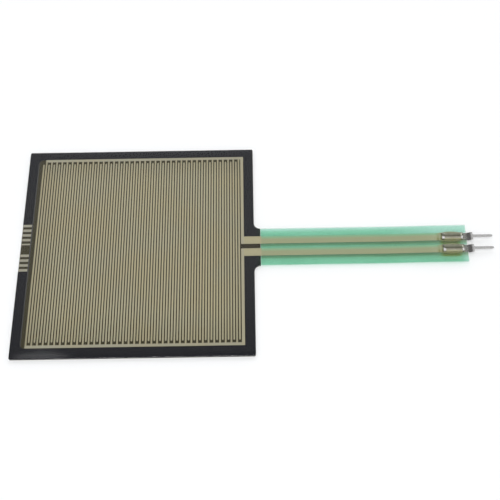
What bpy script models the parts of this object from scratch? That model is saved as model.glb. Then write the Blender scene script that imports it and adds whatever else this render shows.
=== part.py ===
"""Square force sensing resistor with a film tail and two crimped solder tabs.

The frame's origin is the centre of the sensing square on its resting face. +X runs out along the tail,
+Z up to the clear film. Left is +Y and right is -Y, as seen looking out along the tail.
All sizes are in metres.
"""

import math

import bmesh
import bpy
import numpy as np

# Square and tail, seen from above
SQUARE_SIDE = 0.04369
CORNER_RADIUS = 0.0003
TAIL_WIDTH = 0.00777
TAIL_LENGTH = 0.0397
TAIL_FILLET = 0.00115
TAIL_END_RADIUS = 0.00015
ROOT_TAB_RUN = 0.00005

# Thickness of each layer, from the resting face up
LINER_THICKNESS = 0.00008
REAR_ADHESIVE_THICKNESS = 0.00005
BASE_FILM_THICKNESS = 0.000127
INK_THICKNESS = 0.00002
SPACER_THICKNESS = 0.00015
ELECTRODE_FILM_THICKNESS = 0.000127
SILVER_THICKNESS = 0.00002
OVERPRINT_THICKNESS = 0.00003

# Silver print
PRINT_OFFSET_Y = 0.0002
PRINT_BORDER = 0.001875
SIDE_BAR_BORDER = 0.0019
BUS_WIDTH = 0.00054
FINGER_PITCH = 0.000508
FINGER_WIDTH = 0.000305
FINGER_END_GAP = 0.000508
TRACE_WIDTH = 0.001575
PAD_BULGE = 0.00027
TRACE_END_MARGIN = 0.0006

# Opening in the spacer
WINDOW_LEFT_BORDER = 0.001695
WINDOW_RADIUS = 0.001
FINGER_MARGIN = 0.0009
PRINT_CLEARANCE = 0.00005

# Air vent across the border opposite the tail
VENT_OFFSET_Y = 0.000575
VENT_BAR_WIDTH = 0.000508
VENT_BAR_PITCH = 0.001016
VENT_BARS_PER_GROUP = 4
VENT_GROUP_GAP = 0.002826
VENT_THIN_BAR_WIDTH = 0.0003
VENT_THIN_BAR_GAP = 0.00053
VENT_BAR_EDGE_MARGIN = 0.0001
VENT_CLEARANCE = 0.00003

# Green print under the tail
OVERPRINT_START_GAP = 0.00005
OVERPRINT_SIDE_MARGIN = 0.00003
OVERPRINT_END_MARGIN = 0.00003
DRAPE_CLEARANCE = 0.000005
PAD_WINDOW_MARGIN = 0.00005

# Rise of the tail towards its end
TAIL_LIFT = 0.00015
LIFT_RUN = 0.009
LIFT_LEVEL_MARGIN = 0.0004
LIFT_STATIONS = 9

# Solder tabs
TAB_PITCH = 0.00254
STRIP_THICKNESS = 0.0002
TAB_WIDTH = 0.00145
WING_LENGTH = 0.0039
WING_SETBACK = 0.00045
WING_EDGE_MARGIN = 0.00072
WING_BEND_RADIUS = 0.00013
WING_FOLD_RADIUS = 0.00022
WING_SLOPE = 40.0
WING_END_SLOPE = 3.0
WING_FLARE_RUN = 0.00055
WING_TIP_CLEARANCE = 0.00001
WING_SEAT_CLEARANCE = 0.000005
SLIT_CLEARANCE = 0.00001
RELIEF_LENGTH = 0.0001
NECK_LENGTH = 0.00018
SHOULDER_LENGTH = 0.001
SHOULDER_STEP = 0.00005
SHOULDER_RADIUS = 0.0002
PIN_LENGTH = 0.00367
PIN_WIDTH = 0.0005
PIN_TIP_LENGTH = 0.0004
PIN_TIP_WIDTH = 0.0003
PIN_RISE = 0.00025

# Number of steps along curves
CORNER_STEPS = 4
FILLET_STEPS = 8
FINGER_END_STEPS = 4
BEND_STEPS = 3
FOLD_STEPS = 6
FLARE_STEPS = 4
PAD_STEPS = 12
JOGGLE_STEPS = 6

# Heights of the layers
REAR_ADHESIVE_Z = LINER_THICKNESS
BASE_FILM_Z = REAR_ADHESIVE_Z + REAR_ADHESIVE_THICKNESS
INK_Z = BASE_FILM_Z + BASE_FILM_THICKNESS
SPACER_Z = INK_Z + INK_THICKNESS
ELECTRODE_FILM_Z = SPACER_Z + SPACER_THICKNESS
SILVER_Z = ELECTRODE_FILM_Z - SILVER_THICKNESS

# Places that several pieces share
HALF_SIDE = SQUARE_SIDE / 2
HALF_TAIL = TAIL_WIDTH / 2
TAIL_END_X = HALF_SIDE + TAIL_LENGTH
ROOT_TAB_END_X = HALF_SIDE + TAIL_FILLET + ROOT_TAB_RUN
SIDE_BAR_X = HALF_SIDE - SIDE_BAR_BORDER
WINDOW_LEFT_X = WINDOW_LEFT_BORDER - HALF_SIDE
PRINT_REACH = HALF_SIDE - PRINT_BORDER
FINGER_GAP = FINGER_PITCH - FINGER_WIDTH
LAST_FINGER_X = SIDE_BAR_X - BUS_WIDTH - FINGER_GAP - FINGER_WIDTH / 2
TRACE_V = TAB_PITCH / 2
WING_END_X = TAIL_END_X - WING_EDGE_MARGIN
WING_START_X = WING_END_X - WING_LENGTH
TAB_START_X = WING_START_X - WING_SETBACK
PAD_START_X = TAB_START_X - PAD_WINDOW_MARGIN
PAD_END_X = TAIL_END_X - TRACE_END_MARGIN
LIFT_END_X = TAB_START_X - LIFT_LEVEL_MARGIN
LIFT_START_X = LIFT_END_X - LIFT_RUN
SHOULDER_START_X = TAIL_END_X + NECK_LENGTH
SHOULDER_END_X = SHOULDER_START_X + SHOULDER_LENGTH
PIN_END_X = SHOULDER_END_X + PIN_LENGTH
HALF_STRIP = STRIP_THICKNESS / 2
WALL_Y = TAB_WIDTH / 2 - HALF_STRIP
PLATE_HALF = WALL_Y - WING_BEND_RADIUS


def smooth(share):
    share = np.clip(share, 0.0, 1.0)
    return share * share * (3.0 - 2.0 * share)


def lift_stations():
    return np.linspace(LIFT_START_X, LIFT_END_X, LIFT_STATIONS)


def tail_lift(x):
    """Height gained by the tail at x: a smooth rise, straight between its stations."""
    stations = lift_stations()
    rise = TAIL_LIFT * smooth((stations - LIFT_START_X) / LIFT_RUN)
    return float(np.interp(x, stations, rise))


def joggle_stations():
    return np.linspace(SHOULDER_START_X, SHOULDER_END_X, JOGGLE_STEPS + 1)


def pin_rise(x):
    """Height gained by the contact strip at x, across its shoulder."""
    stations = joggle_stations()
    rise = PIN_RISE * smooth((stations - SHOULDER_START_X) / SHOULDER_LENGTH)
    return float(np.interp(x, stations, rise))


def arc(centre_x, centre_y, radius, start, end, steps):
    """Points round a centre, angles in degrees; a radius of nothing gives the centre alone."""
    if radius <= 0.0:
        return [(centre_x, centre_y)]
    angles = np.radians(np.linspace(start, end, steps + 1))
    return [(centre_x + radius * math.cos(a), centre_y + radius * math.sin(a)) for a in angles]


def without_doubles(loop):
    """The same closed loop with points that repeat their neighbour left out."""
    kept = []
    for point in loop:
        if not kept or math.dist(point, kept[-1]) > 1e-8:
            kept.append(point)
    if math.dist(kept[0], kept[-1]) <= 1e-8:
        kept.pop()
    return kept


def material(name, colour, roughness, metallic=0.0, alpha=1.0):
    made = bpy.data.materials.new(name)
    made.use_nodes = True
    shader = made.node_tree.nodes["Principled BSDF"]
    shader.inputs["Base Color"].default_value = (*colour, 1.0)
    shader.inputs["Roughness"].default_value = roughness
    shader.inputs["Metallic"].default_value = metallic
    shader.inputs["Alpha"].default_value = alpha
    made.diffuse_color = (*colour, alpha)
    return made


def add_object(name, bm, finish):
    bmesh.ops.recalc_face_normals(bm, faces=bm.faces[:])
    mesh = bpy.data.meshes.new(name)
    bm.to_mesh(mesh)
    bm.free()
    if finish:
        mesh.materials.append(finish)
    made = bpy.data.objects.new(name, mesh)
    bpy.context.scene.collection.objects.link(made)
    return made


def slab_mesh(loops, bottom, thickness):
    """A flat slab: the first loop is its outline, the others are holes through it."""
    bm = bmesh.new()
    edges = []
    for loop in loops:
        corners = [bm.verts.new((x, y, bottom)) for x, y in without_doubles(loop)]
        for i, corner in enumerate(corners):
            edges.append(bm.edges.new((corners[i - 1], corner)))
    bmesh.ops.triangle_fill(bm, use_beauty=True, edges=edges, normal=(0.0, 0.0, 1.0))
    raised = bmesh.ops.extrude_face_region(bm, geom=bm.faces[:], use_keep_orig=True)
    top = [v for v in raised["geom"] if isinstance(v, bmesh.types.BMVert)]
    bmesh.ops.translate(bm, verts=top, vec=(0.0, 0.0, thickness))
    return bm


def bend(bm, stations, height):
    """Cut the mesh across X at the stations, then raise each vertex by height(x)."""
    for x in stations:
        geometry = bm.verts[:] + bm.edges[:] + bm.faces[:]
        bmesh.ops.bisect_plane(bm, geom=geometry, dist=1e-8, plane_co=(x, 0.0, 0.0), plane_no=(1.0, 0.0, 0.0))
    for vertex in bm.verts:
        vertex.co.z += height(vertex.co.x)


def loft_mesh(sections):
    """A solid through closed (y, z) sections, each given with its x and the same number of points."""
    bm = bmesh.new()
    rings = []
    for x, loop in sections:
        rings.append([bm.verts.new((x, y, z)) for y, z in loop])
    for near, far in zip(rings, rings[1:]):
        for i in range(len(near)):
            bm.faces.new((near[i - 1], near[i], far[i], far[i - 1]))
    bm.faces.new(rings[0])
    bm.faces.new(rings[-1])
    return bm


def die_outline(reach, end_radius):
    """Outline of a layer: the square, a concave fillet each side of the tail, and the tail to x = reach."""
    side = HALF_SIDE - CORNER_RADIUS
    tail_side = HALF_TAIL - end_radius
    fillet_x = HALF_SIDE + TAIL_FILLET
    fillet_y = HALF_TAIL + TAIL_FILLET
    loop = arc(-side, -side, CORNER_RADIUS, 180, 270, CORNER_STEPS)
    loop += arc(side, -side, CORNER_RADIUS, 270, 360, CORNER_STEPS)
    loop += arc(fillet_x, -fillet_y, TAIL_FILLET, 180, 90, FILLET_STEPS)
    loop += arc(reach - end_radius, -tail_side, end_radius, 270, 360, CORNER_STEPS)
    loop += arc(reach - end_radius, tail_side, end_radius, 0, 90, CORNER_STEPS)
    loop += arc(fillet_x, fillet_y, TAIL_FILLET, 270, 180, FILLET_STEPS)
    loop += arc(side, side, CORNER_RADIUS, 0, 90, CORNER_STEPS)
    loop += arc(-side, side, CORNER_RADIUS, 90, 180, CORNER_STEPS)
    return loop


def rectangle(x0, x1, y0, y1):
    return [(x0, y0), (x1, y0), (x1, y1), (x0, y1)]


def stack_layer(name, bottom, thickness, finish):
    """A full layer of the square: its outline ends in the short root tab under the tail."""
    outline = die_outline(ROOT_TAB_END_X, 0.0)
    return add_object(name, slab_mesh([outline], bottom, thickness), finish)


def tab_centre_y(side):
    return PRINT_OFFSET_Y + side * TAB_PITCH / 2


def slit_loops(side):
    """The two slits that a solder tab's wings pierce through film and silver."""
    outer = TAB_WIDTH / 2 + SLIT_CLEARANCE
    inner = PLATE_HALF
    start = WING_START_X - SLIT_CLEARANCE
    end = WING_END_X + SLIT_CLEARANCE
    centre = tab_centre_y(side)
    return [rectangle(start, end, centre + inner, centre + outer),
            rectangle(start, end, centre - outer, centre - inner)]


def electrode_film(finish):
    loops = [die_outline(TAIL_END_X, TAIL_END_RADIUS)]
    for side in (1, -1):
        loops += slit_loops(side)
    bm = slab_mesh(loops, ELECTRODE_FILM_Z, ELECTRODE_FILM_THICKNESS)
    bend(bm, lift_stations(), tail_lift)
    return add_object("electrode_film", bm, finish)


def finger_count():
    """As many fingers as fit between the side bar and the left edge of the window."""
    first_x = WINDOW_LEFT_X + FINGER_MARGIN + FINGER_WIDTH / 2
    return int((LAST_FINGER_X - first_x) / FINGER_PITCH) + 1


def pad_edge(half):
    """One long edge of a trace's end: x and distance from its middle, bulging round the contact."""
    shares = [step / PAD_STEPS for step in range(PAD_STEPS + 1)]
    length = PAD_END_X - PAD_START_X
    return [(PAD_START_X + share * length, half + PAD_BULGE * math.sin(math.pi * share)) for share in shares]


def comb_outline(side):
    """Bus bar, fingers, side bar, trace and pad in one loop, in x and v.

    v is measured from the print's middle towards this comb's own bus bar. Fingers are counted from the
    side bar, and the left comb has the even ones.
    """
    first = 0 if side > 0 else 1
    centres = [LAST_FINGER_X - i * FINGER_PITCH for i in range(first, finger_count(), 2)]
    half_finger = FINGER_WIDTH / 2
    inner = PRINT_REACH - BUS_WIDTH
    finger_v = FINGER_END_GAP + half_finger - inner
    trace = TRACE_WIDTH / 2
    edge = pad_edge(trace)
    loop = [(x, TRACE_V - away) for x, away in edge] + [(x, TRACE_V + away) for x, away in reversed(edge)]
    loop += [(SIDE_BAR_X, TRACE_V + trace), (SIDE_BAR_X, PRINT_REACH)]
    loop += [(centres[-1] - half_finger, PRINT_REACH)]
    for i, x in enumerate(reversed(centres)):
        if i > 0:
            loop += [(x - half_finger, inner)]
        loop += arc(x, finger_v, half_finger, 180, 360, FINGER_END_STEPS)
        loop += [(x + half_finger, inner)]
    loop += [(SIDE_BAR_X - BUS_WIDTH, inner), (SIDE_BAR_X - BUS_WIDTH, TRACE_V - trace)]
    return loop


def electrode_comb(name, side, finish):
    outline = [(x, PRINT_OFFSET_Y + side * v) for x, v in comb_outline(side)]
    bm = slab_mesh([outline] + slit_loops(side), SILVER_Z, SILVER_THICKNESS)
    bend(bm, lift_stations(), tail_lift)
    return add_object(name, bm, finish)


def vent_reach():
    """Half of the vent's length, from its middle to just past its outermost bar."""
    group = (VENT_BARS_PER_GROUP - 1) * VENT_BAR_PITCH
    return VENT_GROUP_GAP / 2 + VENT_BAR_WIDTH + group + VENT_CLEARANCE


def spacer(name, side, finish):
    """One half of the adhesive frame, from the vent round the window to the channel of the traces."""
    side_edge = HALF_SIDE - CORNER_RADIUS
    vent = vent_reach() + side * VENT_OFFSET_Y
    channel = TRACE_V + TRACE_WIDTH / 2 + PRINT_CLEARANCE + side * PRINT_OFFSET_Y
    window = PRINT_REACH + PRINT_CLEARANCE + side * PRINT_OFFSET_Y
    right = SIDE_BAR_X + PRINT_CLEARANCE
    fillet_x = HALF_SIDE + TAIL_FILLET
    fillet_y = HALF_TAIL + TAIL_FILLET
    loop = [(-HALF_SIDE, vent)]
    loop += arc(-side_edge, side_edge, CORNER_RADIUS, 180, 90, CORNER_STEPS)
    loop += arc(side_edge, side_edge, CORNER_RADIUS, 90, 0, CORNER_STEPS)
    loop += arc(fillet_x, fillet_y, TAIL_FILLET, 180, 270, FILLET_STEPS)
    loop += [(ROOT_TAB_END_X, HALF_TAIL), (ROOT_TAB_END_X, channel), (right, channel), (right, window)]
    loop += arc(WINDOW_LEFT_X + WINDOW_RADIUS, window - WINDOW_RADIUS, WINDOW_RADIUS, 90, 180, FILLET_STEPS)
    loop += [(WINDOW_LEFT_X, vent)]
    loop = [(x, side * y) for x, y in loop]
    return add_object(name, slab_mesh([loop], SPACER_Z, SPACER_THICKNESS), finish)


def vent_bar_places():
    """Centre and width of each bar along the vent: a group each side of the middle, and a thin one."""
    first = VENT_GROUP_GAP / 2 + VENT_BAR_WIDTH / 2
    steps = [first + i * VENT_BAR_PITCH for i in range(VENT_BARS_PER_GROUP)]
    places = [(y, VENT_BAR_WIDTH) for y in reversed(steps)]
    thin = VENT_GROUP_GAP / 2 - VENT_THIN_BAR_GAP - VENT_THIN_BAR_WIDTH / 2
    places.append((thin, VENT_THIN_BAR_WIDTH))
    places += [(-y, VENT_BAR_WIDTH) for y in steps]
    return places


def vent_bars(finish):
    for number, (place, width) in enumerate(vent_bar_places(), start=1):
        y = VENT_OFFSET_Y + place
        loop = rectangle(VENT_BAR_EDGE_MARGIN - HALF_SIDE, WINDOW_LEFT_X, y - width / 2, y + width / 2)
        add_object(f"vent_bar_{number}", slab_mesh([loop], SILVER_Z, SILVER_THICKNESS), finish)


def overprint_section():
    """The green print across the tail, as (y, z): an even coat that steps down over each trace."""
    side = HALF_TAIL - OVERPRINT_SIDE_MARGIN
    lower = [(-side, ELECTRODE_FILM_Z - OVERPRINT_THICKNESS)]
    upper = [(-side, ELECTRODE_FILM_Z)]
    for trace_side in (-1, 1):
        centre = tab_centre_y(trace_side)
        inner = TRACE_WIDTH / 2 + DRAPE_CLEARANCE
        outer = inner + OVERPRINT_THICKNESS
        step = ELECTRODE_FILM_Z - SILVER_THICKNESS
        upper += [(centre - inner, ELECTRODE_FILM_Z), (centre - inner, step)]
        upper += [(centre + inner, step), (centre + inner, ELECTRODE_FILM_Z)]
        lower += [(centre - outer, ELECTRODE_FILM_Z - OVERPRINT_THICKNESS)]
        lower += [(centre - outer, step - OVERPRINT_THICKNESS), (centre + outer, step - OVERPRINT_THICKNESS)]
        lower += [(centre + outer, ELECTRODE_FILM_Z - OVERPRINT_THICKNESS)]
    lower += [(side, ELECTRODE_FILM_Z - OVERPRINT_THICKNESS)]
    upper += [(side, ELECTRODE_FILM_Z)]
    return lower + upper[::-1]


def cut(target, cutter_bm, name):
    """Take a shape out of the target with an exact Boolean, whose cutter stays as a hidden guide."""
    cutter = add_object(name, cutter_bm, None)
    cutter.hide_render = True
    cutter.display_type = "WIRE"
    modifier = target.modifiers.new(name, "BOOLEAN")
    modifier.object = cutter
    modifier.operation = "DIFFERENCE"
    modifier.solver = "EXACT"


def evaluated_copy(source):
    """The object's mesh with its modifiers worked out, in a new bmesh."""
    depsgraph = bpy.context.evaluated_depsgraph_get()
    bm = bmesh.new()
    bm.from_object(source, depsgraph)
    return bm


def tail_overprint(finish):
    start = ROOT_TAB_END_X + OVERPRINT_START_GAP
    end = TAIL_END_X - OVERPRINT_END_MARGIN
    section = overprint_section()
    coat = add_object("tail_overprint", loft_mesh([(start, section), (end, section)]), finish)
    depth = SILVER_THICKNESS + 2 * OVERPRINT_THICKNESS
    for side, label in ((1, "left"), (-1, "right")):
        centre = tab_centre_y(side)
        edge = pad_edge(TRACE_WIDTH / 2 + PAD_WINDOW_MARGIN)
        edge.append((TAIL_END_X, TRACE_WIDTH / 2 + PAD_WINDOW_MARGIN))
        notch = [(x, centre - away) for x, away in edge] + [(x, centre + away) for x, away in reversed(edge)]
        cut(coat, slab_mesh([notch], ELECTRODE_FILM_Z - depth, 2 * depth), f"{label}_pad_window")
    bm = evaluated_copy(coat)
    coat.modifiers.clear()
    bend(bm, lift_stations(), tail_lift)
    bmesh.ops.recalc_face_normals(bm, faces=bm.faces[:])
    bm.to_mesh(coat.data)
    bm.free()
    return coat


def wing_slope(x):
    """How far below level a wing runs inwards, in radians: steep, but near level at its ends."""
    share = min(x - WING_START_X, WING_END_X - x) / WING_FLARE_RUN
    return math.radians(WING_END_SLOPE + (WING_SLOPE - WING_END_SLOPE) * float(smooth(share)))


def slope_length(slope):
    """Length of a wing's straight stretch, which ends just short of the other wing."""
    start = WALL_Y - WING_FOLD_RADIUS * (1.0 + math.sin(slope))
    end = WING_TIP_CLEARANCE + HALF_STRIP * math.sin(slope)
    return (start - end) / math.cos(slope)


def wall_height():
    """Straight height of a wing's wall, which sets the middle of its tip down on the film."""
    slope = math.radians(WING_SLOPE)
    film_top = HALF_STRIP + SILVER_THICKNESS + ELECTRODE_FILM_THICKNESS + WING_SEAT_CLEARANCE
    fall = slope_length(slope) * math.sin(slope) + HALF_STRIP * math.cos(slope)
    return film_top + fall - WING_FOLD_RADIUS * math.cos(slope) - WING_BEND_RADIUS


def formed_lines(slope):
    """The strip's middle line across one wing, from the plate out: y, z and the inward unit normal."""
    lines = [(0.0, 0.0, 0.0, 1.0), (PIN_WIDTH / 2, 0.0, 0.0, 1.0), (PLATE_HALF, 0.0, 0.0, 1.0)]
    for angle in np.linspace(0.0, math.pi / 2, BEND_STEPS + 1)[1:]:
        y = PLATE_HALF + WING_BEND_RADIUS * math.sin(angle)
        z = WING_BEND_RADIUS * (1.0 - math.cos(angle))
        lines.append((y, z, -math.sin(angle), math.cos(angle)))
    fold_y = WALL_Y - WING_FOLD_RADIUS
    fold_z = WING_BEND_RADIUS + wall_height()
    for angle in np.linspace(0.0, math.pi / 2 + slope, FOLD_STEPS + 1):
        y = fold_y + WING_FOLD_RADIUS * math.cos(angle)
        z = fold_z + WING_FOLD_RADIUS * math.sin(angle)
        lines.append((y, z, -math.cos(angle), -math.sin(angle)))
    y, z, normal_y, normal_z = lines[-1]
    run = slope_length(slope)
    lines.append((y - run * math.cos(slope), z - run * math.sin(slope), normal_y, normal_z))
    return lines


def flat_lines(pin_half):
    """The same lines where the strip is flat: middle, pin, plate, neck and shoulder."""
    neck = TAB_WIDTH / 2
    places = [0.0, pin_half, PLATE_HALF]
    places += list(np.linspace(PLATE_HALF, neck, BEND_STEPS + 1)[1:])
    places += [neck + SHOULDER_STEP] * (FOLD_STEPS + 2)
    return [(y, 0.0, 0.0, 1.0) for y in places]


def strip_columns():
    """Stations along a contact: x, the lines there, and how many of them the strip spans from there."""
    pin, plate, neck = 1, 2, 2 + BEND_STEPS
    shoulder = neck + 1
    wing = shoulder + FOLD_STEPS + 1
    half_pin = PIN_WIDTH / 2
    flare = WING_FLARE_RUN * np.linspace(0.0, 1.0, FLARE_STEPS + 1)
    columns = [(TAB_START_X, flat_lines(half_pin), plate)]
    for x in list(WING_START_X + flare) + list(WING_END_X - flare[::-1]):
        columns.append((x, formed_lines(wing_slope(x)), wing))
    columns[-1] = (WING_END_X, formed_lines(wing_slope(WING_END_X)), plate)
    columns.append((WING_END_X + RELIEF_LENGTH, flat_lines(half_pin), neck))
    for x in joggle_stations()[:-1]:
        columns.append((x, flat_lines(half_pin), shoulder))
    for step in range(CORNER_STEPS + 1):
        angle = math.radians(90.0 * step / CORNER_STEPS)
        x = SHOULDER_END_X + SHOULDER_RADIUS * (1.0 - math.cos(angle))
        columns.append((x, flat_lines(half_pin + SHOULDER_RADIUS * (1.0 - math.sin(angle))), pin))
    columns.append((PIN_END_X - PIN_TIP_LENGTH, flat_lines(half_pin), pin))
    columns.append((PIN_END_X, flat_lines(PIN_TIP_WIDTH / 2), 0))
    return columns


def strip_mesh(columns, plate_z):
    """The contact's strip as a closed shell, half its thickness each side of the lines, mirrored in y."""
    bm = bmesh.new()
    corners = {}

    def corner(i, j, face):
        if (i, j, face) not in corners:
            x, lines, _ = columns[i]
            y, z, normal_y, normal_z = lines[abs(j)]
            y += face * HALF_STRIP * normal_y
            z += face * HALF_STRIP * normal_z + plate_z + pin_rise(x)
            corners[i, j, face] = bm.verts.new((x, y if j >= 0 else -y, z))
        return corners[i, j, face]

    cells = [(i, j) for i, column in enumerate(columns) for j in range(-column[2], column[2])]
    kept = set(cells)
    for i, j in cells:
        for face in (-1, 1):
            bm.faces.new([corner(*place, face) for place in ((i, j), (i + 1, j), (i + 1, j + 1), (i, j + 1))])
        sides = [((i - 1, j), (i, j), (i, j + 1)), ((i + 1, j), (i + 1, j), (i + 1, j + 1))]
        sides += [((i, j - 1), (i, j), (i + 1, j)), ((i, j + 1), (i, j + 1), (i + 1, j + 1))]
        for beside, start, end in sides:
            if beside not in kept:
                bm.faces.new([corner(*start, -1), corner(*end, -1), corner(*end, 1), corner(*start, 1)])
    return bm


def solder_tab(name, side, finish):
    plate_z = SILVER_Z - HALF_STRIP + TAIL_LIFT
    tab = add_object(name, strip_mesh(strip_columns(), plate_z), finish)
    tab.location.y = tab_centre_y(side)
    return tab


def build():
    for old in list(bpy.data.objects):
        bpy.data.objects.remove(old, do_unlink=True)

    paper = material("liner_paper", (0.86, 0.84, 0.78), 0.8)
    glue = material("rear_glue", (0.78, 0.77, 0.72), 0.4)
    polyester = material("base_polyester", (0.05, 0.05, 0.055), 0.35)
    carbon = material("carbon_ink", (0.02, 0.02, 0.02), 0.6)
    frame_glue = material("spacer_glue", (0.04, 0.038, 0.05), 0.4)
    silver = material("silver_ink", (0.55, 0.53, 0.42), 0.45, metallic=0.5)
    green = material("green_overprint", (0.2, 0.62, 0.42), 0.4, alpha=0.8)
    clear = material("clear_polyester", (0.9, 0.9, 0.9), 0.1, alpha=0.25)
    tin = material("tin_plate", (0.68, 0.68, 0.67), 0.3, metallic=1.0)

    stack_layer("release_liner", 0.0, LINER_THICKNESS, paper)
    stack_layer("rear_adhesive", REAR_ADHESIVE_Z, REAR_ADHESIVE_THICKNESS, glue)
    stack_layer("semiconductive_film", BASE_FILM_Z, BASE_FILM_THICKNESS, polyester)
    stack_layer("semiconductive_ink", INK_Z, INK_THICKNESS, carbon)
    spacer("left_spacer", 1, frame_glue)
    spacer("right_spacer", -1, frame_glue)
    electrode_comb("left_electrode_comb", 1, silver)
    electrode_comb("right_electrode_comb", -1, silver)
    vent_bars(silver)
    tail_overprint(green)
    electrode_film(clear)
    solder_tab("left_solder_tab", 1, tin)
    solder_tab("right_solder_tab", -1, tin)


build()
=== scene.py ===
import math

import bpy
import numpy as np
from mathutils import Euler, Matrix, Vector


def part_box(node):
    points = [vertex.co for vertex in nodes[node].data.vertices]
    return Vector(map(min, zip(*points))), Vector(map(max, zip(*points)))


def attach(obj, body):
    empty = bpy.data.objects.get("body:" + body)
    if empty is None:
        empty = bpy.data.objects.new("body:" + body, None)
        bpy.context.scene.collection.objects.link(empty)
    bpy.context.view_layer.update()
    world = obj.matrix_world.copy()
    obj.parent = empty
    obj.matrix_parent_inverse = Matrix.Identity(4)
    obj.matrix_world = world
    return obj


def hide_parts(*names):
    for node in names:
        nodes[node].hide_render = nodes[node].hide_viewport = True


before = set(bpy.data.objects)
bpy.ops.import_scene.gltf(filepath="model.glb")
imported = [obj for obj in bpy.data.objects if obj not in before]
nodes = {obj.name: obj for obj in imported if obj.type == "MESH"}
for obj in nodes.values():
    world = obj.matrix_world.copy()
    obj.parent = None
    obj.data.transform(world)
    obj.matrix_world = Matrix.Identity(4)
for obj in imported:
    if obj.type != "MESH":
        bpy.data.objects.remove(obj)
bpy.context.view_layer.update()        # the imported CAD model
mm = 0.001
print("frame loaded with", len(nodes), "nodes")


# Places read from the frame

def nodePoints(name):
    flat = np.empty(3 * len(nodes[name].data.vertices))
    nodes[name].data.vertices.foreach_get("co", flat)
    return flat.reshape(-1, 3)


filmPoints = nodePoints("electrode_film")
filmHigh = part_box("electrode_film")[1]
coatLow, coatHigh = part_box("tail_overprint")
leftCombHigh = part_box("left_electrode_comb")[1]
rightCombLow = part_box("right_electrode_comb")[0]
tabBoxes = {"tabLeft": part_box("left_solder_tab"), "tabRight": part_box("right_solder_tab")}
tabMiddles = [(low.y + high.y) / 2 for low, high in tabBoxes.values()]

halfSide = filmHigh.y
tailEndX = filmHigh.x
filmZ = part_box("left_spacer")[1].z                  # underside of the clear film over the square
filmThickness = max(filmPoints[filmPoints[:, 0] < 0.0, 2]) - filmZ
tailHalf = max(np.abs(filmPoints[filmPoints[:, 0] > 0.9 * tailEndX, 1]))      # over its last tenth
printMiddleY = (leftCombHigh.y + rightCombLow.y) / 2
printReach = (leftCombHigh.y - rightCombLow.y) / 2
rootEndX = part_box("semiconductive_ink")[1].x        # end of the short black tab under the tail

# the tail's stations past its root, and the underside's height at each
rootReach = 2.0 * mm         # the fillets at the root end within this
placeDigits = 7              # places are rounded to a tenth of a micrometre
sameSpot = 0.001 * mm        # and those closer than this are one
tailX = np.unique(np.round(filmPoints[filmPoints[:, 0] > halfSide + rootReach, 0], placeDigits))
tailUnderside = np.array([filmPoints[np.abs(filmPoints[:, 0] - x) < sameSpot, 2].min() for x in tailX])


def filmUnderside(x):      # level over the square, then along the CAD tail's own stations
    return np.interp(x, np.append(halfSide, tailX), np.append(filmZ, tailUnderside))


# Mesh helpers

def addPiece(name, points, faces, materials, faceSlots=None, sharpAngle=40.0):
    mesh = bpy.data.meshes.new(name)
    mesh.from_pydata(points.tolist(), [], faces.tolist())
    for made in materials:
        mesh.materials.append(made)
    if faceSlots is not None:
        mesh.polygons.foreach_set("material_index", faceSlots)
    mesh.update()
    mesh.shade_smooth()
    mesh.set_sharp_from_angle(angle=math.radians(sharpAngle))
    piece = bpy.data.objects.new(name, mesh)
    bpy.context.scene.collection.objects.link(piece)
    return piece


def addSheet(name, upper, lower, keep, materials, rounding=0.0, steps=1, sharpAngle=40.0):
    # A closed sheet between two grids of points, over the kept cells: each cell above, the same cell turned
    # round below, and a rim. The rim's profile is half an ellipse, middle + outward * rounding * (cos - 1)
    # + half * sin, where half is half the sheet's thickness. Slots: 0 above, 1 below, 2 rim.
    rows, columns = keep.shape
    number = np.arange((rows + 1) * (columns + 1)).reshape(rows + 1, columns + 1)
    a, b, c, d = number[:-1, :-1], number[1:, :-1], number[1:, 1:], number[:-1, 1:]
    padded = np.pad(keep, 1)
    starts, ends = [], []
    for start, end, beside in ((a, b, padded[1:-1, :-2]), (b, c, padded[2:, 1:-1]),
                               (c, d, padded[1:-1, 2:]), (d, a, padded[:-2, 1:-1])):
        edge = keep & ~beside
        starts.append(start[edge])
        ends.append(end[edge])
    starts, ends = np.concatenate(starts), np.concatenate(ends)

    middle = ((upper + lower) / 2).reshape(-1, 3)
    half = ((upper - lower) / 2).reshape(-1, 3)
    outward = np.cross(middle[ends] - middle[starts], half[starts] + half[ends])
    outward /= np.linalg.norm(outward, axis=1, keepdims=True)
    total = np.zeros_like(middle)
    np.add.at(total, starts, outward)
    np.add.at(total, ends, outward)
    length = np.maximum(np.sum(total * total, axis=1, keepdims=True), 1e-12)      # never nothing
    mitred = 2.0 * total / length

    rings = []
    for angle in np.linspace(-math.pi / 2, math.pi / 2, steps + 1):
        rings.append(middle + mitred * rounding * (math.cos(angle) - 1.0) + half * math.sin(angle))
    quads = np.stack([a, b, c, d], -1)[keep]
    faces, slots = [quads[:, ::-1], quads + steps * number.size], [1, 0]
    for i in range(steps):
        low, high = i * number.size, (i + 1) * number.size
        faces.append(np.stack([starts + low, ends + low, ends + high, starts + high], -1))
        slots.append(2)
    slots = np.repeat(slots, [len(group) for group in faces])
    used, faces = np.unique(np.concatenate(faces), return_inverse=True)
    return addPiece(name, np.concatenate(rings)[used], faces.reshape(-1, 4), materials, slots, sharpAngle)


def smooth(share):      # 0 to 1 with a level start and end
    share = np.clip(share, 0.0, 1.0)
    return share * share * (3.0 - 2.0 * share)


def mergedSteps(*groups):
    # One rising list of places from several, with those closer than half a micrometre taken once.
    places = np.unique(np.round(np.concatenate([np.atleast_1d(group) for group in groups]), placeDigits))
    return places[np.append(True, np.diff(places) > 0.0005 * mm)]


# Material helpers

noiseSpan = (0.3, 0.7)         # nearly all of a noise's values lie between these
cloudSpan = (0.35, 0.65)       # and those of a soft, slow one between these


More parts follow.
